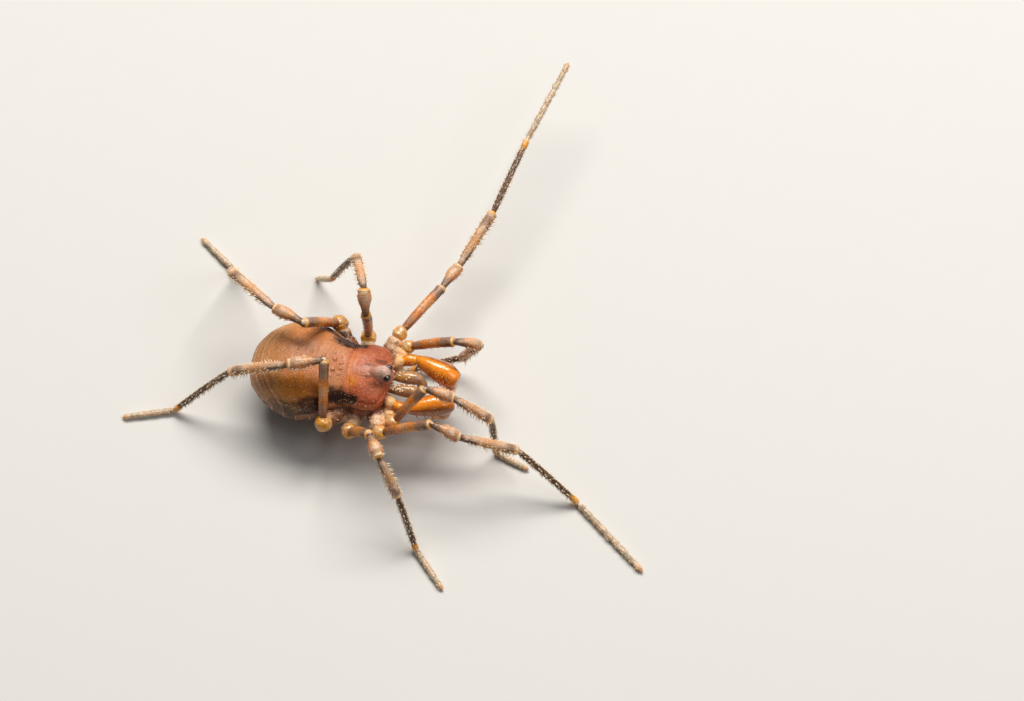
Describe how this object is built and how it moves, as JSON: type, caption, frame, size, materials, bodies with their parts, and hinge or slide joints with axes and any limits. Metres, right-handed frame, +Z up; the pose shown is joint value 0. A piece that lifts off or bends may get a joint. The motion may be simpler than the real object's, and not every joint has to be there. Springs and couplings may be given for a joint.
{
  "type": "harvestman",
  "caption": "Still life-size model of a short-legged armoured harvestman, domed shield and eight jointed legs, standing as it walks.",
  "frame": {"origin": "on the floor, under the middle of the animal's overall spread", "axes": "+X ahead, towards the mouthparts; +Y to the animal's left; +Z up"},
  "size_m": [0.0262, 0.0274, 0.0061],
  "materials": {
    "carapace": "fine-grained pinkish red-brown shield, cream at the leg bases",
    "abdomen": "fine-grained dark red-brown plates, orange-brown on the right flank",
    "eye_mound": "greyish pink, dark round the eyes, lightly polished",
    "eye": "glossy black",
    "chelicera": "polished brown",
    "pedipalp": "polished bright orange, finely netted",
    "trochanter": "polished amber beads",
    "femur": "dark at both ends, orange between, pale far rim",
    "patella": "pinkish brown, orange below, pale rim",
    "tibia": "grey-brown with an orange band and a cream far rim",
    "metatarsus": "dark grey-brown with fine pale hairs and an orange end ring",
    "tarsus": "pale cream, ringed, with dense pale hairs"
  },
  "bodies": {
    "root": {"abdomen": "abdomen", "carapace": "carapace", "chelicera_left": "chelicera", "chelicera_right": "chelicera", "eye_left": "eye", "eye_mound": "eye_mound", "eye_right": "eye", "leg_1_left_femur": "femur", "leg_1_left_metatarsus": "metatarsus", "leg_1_left_patella": "patella", "leg_1_left_tarsus": "tarsus", "leg_1_left_tibia": "tibia", "leg_1_left_trochanter": "trochanter", "leg_1_right_femur": "femur", "leg_1_right_metatarsus": "metatarsus", "leg_1_right_patella": "patella", "leg_1_right_tarsus": "tarsus", "leg_1_right_tibia": "tibia", "leg_1_right_trochanter": "trochanter", "leg_2_left_femur": "femur", "leg_2_left_metatarsus": "metatarsus", "leg_2_left_patella": "patella", "leg_2_left_tarsus": "tarsus", "leg_2_left_tibia": "tibia", "leg_2_left_trochanter": "trochanter", "leg_2_right_femur": "femur", "leg_2_right_metatarsus": "metatarsus", "leg_2_right_patella": "patella", "leg_2_right_tarsus": "tarsus", "leg_2_right_tibia": "tibia", "leg_2_right_trochanter": "trochanter", "leg_3_left_femur": "femur", "leg_3_left_metatarsus": "metatarsus", "leg_3_left_patella": "patella", "leg_3_left_tarsus": "tarsus", "leg_3_left_tibia": "tibia", "leg_3_left_trochanter": "trochanter", "leg_3_right_femur": "femur", "leg_3_right_metatarsus": "metatarsus", "leg_3_right_patella": "patella", "leg_3_right_tarsus": "tarsus", "leg_3_right_tibia": "tibia", "leg_3_right_trochanter": "trochanter", "leg_4_left_femur": "femur", "leg_4_left_metatarsus": "metatarsus", "leg_4_left_patella": "patella", "leg_4_left_tarsus": "tarsus", "leg_4_left_tibia": "tibia", "leg_4_left_trochanter": "trochanter", "leg_4_right_femur": "femur", "leg_4_right_metatarsus": "metatarsus", "leg_4_right_patella": "patella", "leg_4_right_tarsus": "tarsus", "leg_4_right_tibia": "tibia", "leg_4_right_trochanter": "trochanter", "pedipalp_left_claw": "pedipalp", "pedipalp_left_femur": "pedipalp", "pedipalp_right_claw": "pedipalp", "pedipalp_right_femur": "pedipalp"}
  },
  "joints": []
}
